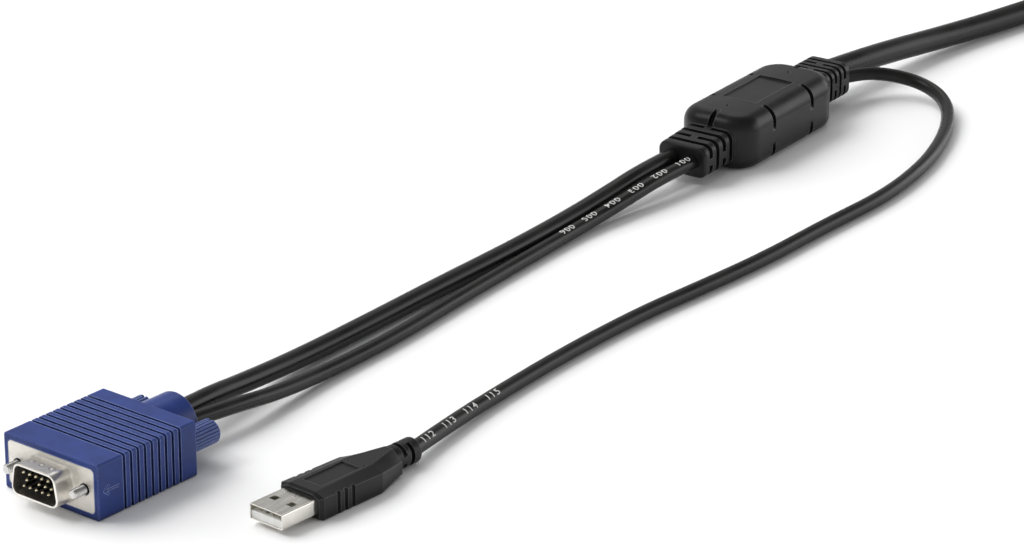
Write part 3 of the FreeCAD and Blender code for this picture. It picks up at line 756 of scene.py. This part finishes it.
class CABLE_OT_stage(bpy.types.Operator):
    """Make the floor, the surroundings, the lights and the camera"""
    bl_idname = "cable.stage"
    bl_label = "Studio"

    def execute(self, context):
        studio = context.scene.cable_studio
        context.scene.view_settings.view_transform = "Standard"
        self.make_camera(context, studio)
        self.make_floor(studio)
        self.make_sky(context, studio)
        self.make_lights(studio)
        return {"FINISHED"}

    def make_camera(self, context, studio):
        """Sets the camera where the photograph was taken from."""
        view = bpy.data.cameras.new("camera")
        view.sensor_fit = "HORIZONTAL"
        view.sensor_width = SENSOR_WIDTH
        view.lens = studio.lens
        view.clip_end = SIGHT_RANGE
        camera = link(bpy.data.objects.new("camera", view))
        camera.location = CAMERA_PLACE
        camera.rotation_euler = (math.radians(CAMERA_TILT), 0.0, math.radians(CAMERA_HEADING))
        context.scene.camera = camera

    def make_floor(self, studio):
        """Lays the white paper that the cable lies on."""
        ground = bmesh.new()
        bmesh.ops.create_grid(ground, x_segments=2, y_segments=2, size=FLOOR_REACH)
        mesh = bpy.data.meshes.new("floor")
        ground.to_mesh(mesh)
        ground.free()
        mesh.materials.append(floor_paper("floor_paper", studio.floor))
        floor = link(bpy.data.objects.new("floor", mesh))

    def make_sky(self, context, studio):
        """Surrounds the scene with a light horizon, a dark zenith and three brighter patches."""
        world = bpy.data.worlds.new("surroundings")
        context.scene.world = world
        world.use_nodes = True
        tree = world.node_tree
        sight = tree.nodes.new("ShaderNodeTexCoord").outputs["Generated"]
        split = tree.nodes.new("ShaderNodeSeparateXYZ")
        tree.links.new(sight, split.inputs["Vector"])
        total = remap(tree, split.outputs["Z"], *SKY_RANGE, studio.sky_low, studio.sky_high, smooth=True)
        patches = (
            (FRONT, FILL_RANGE, studio.front_fill),
            (BACK, FILL_RANGE, studio.back_fill),
            (GLINT, GLINT_RANGE, studio.glint),
        )
        for way, reach, brightness in patches:
            patch = remap(tree, dot(tree, sight, way), *reach, 0.0, brightness, smooth=True)
            both = tree.nodes.new("ShaderNodeMath")
            both.operation = "ADD"
            tree.links.new(total, both.inputs[0])
            tree.links.new(patch, both.inputs[1])
            total = both.outputs["Value"]
        finish(tree, tree.nodes["Background"], {"Color": (1.0, 1.0, 1.0, 1.0), "Strength": total})

    def make_lights(self, studio):
        """Hangs three suns, two of which no surface mirrors, and the low panel on the right."""
        suns = (
            ("key", KEY_PLACE, studio.key_strength, studio.key_spread, False),
            ("top", TOP_PLACE, studio.top_strength, studio.top_spread, False),
            ("edge", EDGE_PLACE, studio.edge_strength, studio.edge_spread, True),
        )
        for name, place, strength, spread, mirrored in suns:
            sun = bpy.data.lights.new(name, "SUN")
            sun.energy = strength
            sun.angle = spread
            self.aim(sun, place).visible_glossy = mirrored
        side = bpy.data.lights.new("side_panel", "AREA")
        side.shape = "RECTANGLE"
        side.size, side.size_y = SIDE_PANEL
        side.energy = studio.side_power
        self.aim(side, SIDE_PLACE)

    def aim(self, light, place):
        """Hangs a light at a place and points it at the middle of the scene."""
        lamp = link(bpy.data.objects.new(light.name, light))
        lamp.location = place
        lamp.rotation_euler = (Vector(AIM_PLACE) - Vector(place)).to_track_quat("-Z", "Y").to_euler()
        return lamp


class CABLE_OT_cords(bpy.types.Operator):
    """Make the four cords, their printed numbers, and the trunk's stored turns with their tie"""
    bl_idname = "cable.cords"
    bl_label = "Cords"

    def execute(self, context):
        size = sizes(context)
        colours = finishes(context)
        skin = jacket("cord_jacket", colours.jacket)
        ink = moulded("jacket_ink", colours.ink, roughness=(0.50, 0.65), grain=3000.0, relief=0.00001,
                      edge=0.00002)
        strap = moulded("tie_strap", colours.moulding, roughness=(0.45, 0.60), grain=1800.0, relief=0.00005,
                        edge=0.0001)

        video = cord_piece("video_lead", VIDEO_ROUTE, size.video_diameter, skin)
        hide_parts("video_cord")

        side = cord_piece("side_lead", SIDE_ROUTE, size.thin_diameter, skin)
        side_numbers = jacket_numbers("side_numbers", "001   002   003   004   005   006", SIDE_ROUTE,
                                      size.thin_diameter, start=0.004, bearing=100.0, size=size,
                                      material=ink)
        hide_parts("side_cord")

        data = cord_piece("data_lead", DATA_ROUTE, size.thin_diameter, skin)
        data_numbers = jacket_numbers("data_numbers", "112   113   114   115", tuple(reversed(DATA_ROUTE)),
                                      size.thin_diameter, start=0.005, bearing=60.0, size=size,
                                      material=ink)
        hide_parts("data_cord")

        whole_route = [*TRUNK_ROUTE, *coil_points(size), *TAIL_ROUTE]
        trunk = cord_piece("trunk", whole_route, size.trunk_diameter, skin)
        tie = coil_tie(size, strap)
        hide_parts("trunk_cord", "trunk_coil", "trunk_tail")
        return {"FINISHED"}


class CABLE_OT_junction(bpy.types.Operator):
    """Finish the moulded junction"""
    bl_idname = "cable.junction"
    bl_label = "Junction"

    def execute(self, context):
        colours = finishes(context)
        # The junction gets painted highlights along its edges and painted shade in its grooves.
        skin = moulded("junction_moulding", colours.moulding, roughness=(0.30, 0.38), grain=2000.0,
                       relief=0.00005, edge=sizes(context).edge_round, pale=colours.moulding_edge_highlight)
        dress("junction_housing", skin)
        return {"FINISHED"}


class CABLE_OT_video_plugs(bpy.types.Operator):
    """Finish the hoods, knobs, shells, pin blocks and pins of both video plugs"""
    bl_idname = "cable.video_plugs"
    bl_label = "Video plugs"

    def execute(self, context):
        colours = finishes(context)
        # The hood gets painted highlights along its rib edges and painted shade in its grooves.
        hood = moulded("hood_moulding", colours.hood, roughness=(0.30, 0.38), grain=2600.0, relief=0.00004,
                       edge=sizes(context).edge_round, pale=colours.hood_edge_highlight, reach=0.002)
        insulator = moulded("pin_insulator", colours.insulator, roughness=(0.42, 0.52), grain=2600.0,
                            relief=0.00003, edge=0.0001)
        for plug in PLUGS:
            origin, axis = screw_line(plug, "left")
            for piece in HOOD_PIECES:
                dress(plug + "_" + piece, hood)
            dress(plug + "_front_shell", drawn_shell(plug + "_nickel_sheet", colours.nickel, origin, axis))
            dress(plug + "_pin_block", insulator)
            dress(plug + "_pins", pins_with_painted_shade(plug + "_gold_pins", colours.gold, origin, axis))
        return {"FINISHED"}


class CABLE_OT_thumbscrews(bpy.types.Operator):
    """Make the thumbscrews' threaded rods"""
    bl_idname = "cable.thumbscrews"
    bl_label = "Thumbscrews"

    def execute(self, context):
        steel = cut_steel("screw_steel", finishes(context).steel)
        for plug in PLUGS:
            for side in SIDES:
                origin, axis = screw_line(plug, side)
                name = plug + "_" + side
                threaded_rod(name + "_rod", name + "_screw", name + "_thumbscrew", origin, axis,
                             sizes(context), steel)
        return {"FINISHED"}


class CABLE_OT_data_plug(bpy.types.Operator):
    """Finish the data plug"""
    bl_idname = "cable.data_plug"
    bl_label = "Data plug"

    def execute(self, context):
        colours = finishes(context)
        # The grip gets painted highlights along its edges and painted shade in its grooves.
        grip = moulded("grip_moulding", colours.moulding, roughness=(0.32, 0.40), grain=2400.0,
                       relief=0.00004, edge=sizes(context).edge_round, pale=colours.moulding_edge_highlight)
        tongue = moulded("tongue_plastic", colours.tongue, roughness=(0.35, 0.45), grain=2400.0,
                         relief=0.00002, edge=0.00008)
        dress("data_grip", grip)
        dress("data_shell", plated("mouth_sheet", colours.nickel, roughness=(0.18, 0.28), edge=0.00008))
        dress("data_tongue", tongue)
        dress("data_contacts", plated("gold_strip", colours.gold, roughness=(0.18, 0.26), edge=0.00004))
        return {"FINISHED"}


class CABLE_PT_sidebar(bpy.types.Panel):
    """Lists the steps and their settings"""
    bl_idname = "CABLE_PT_sidebar"
    bl_label = "Console cable"
    bl_space_type = "VIEW_3D"
    bl_region_type = "UI"
    bl_category = "Cable"

    def draw(self, context):
        layout = self.layout
        for step in STEPS:
            layout.operator(step.bl_idname)
        for group in (context.scene.cable_sizes, context.scene.cable_finishes, context.scene.cable_studio):
            box = layout.box()
            for name in group.bl_rna.properties.keys():
                if name not in ("rna_type", "name"):
                    box.prop(group, name)


STEPS = (
    CABLE_OT_stage, CABLE_OT_thumbscrews, CABLE_OT_cords, CABLE_OT_junction, CABLE_OT_video_plugs,
    CABLE_OT_data_plug,
)
GROUPS = {"cable_sizes": CableSizes, "cable_finishes": CableFinishes, "cable_studio": CableStudio}


def register():
    """Adds the settings, the steps and the panel to Blender."""
    for group in GROUPS.values():
        bpy.utils.register_class(group)
    for name, group in GROUPS.items():
        setattr(bpy.types.Scene, name, PointerProperty(type=group))
    for step in STEPS:
        bpy.utils.register_class(step)
    bpy.utils.register_class(CABLE_PT_sidebar)


def unregister():
    """Takes them out again."""
    bpy.utils.unregister_class(CABLE_PT_sidebar)
    for step in reversed(STEPS):
        bpy.utils.unregister_class(step)
    for name, group in GROUPS.items():
        delattr(bpy.types.Scene, name)
        bpy.utils.unregister_class(group)


def main():
    """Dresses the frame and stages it."""
    register()
    bpy.ops.cable.stage()
    bpy.ops.cable.thumbscrews()
    bpy.ops.cable.cords()
    bpy.ops.cable.junction()
    bpy.ops.cable.video_plugs()
    bpy.ops.cable.data_plug()


if __name__ == "__main__":
    main()
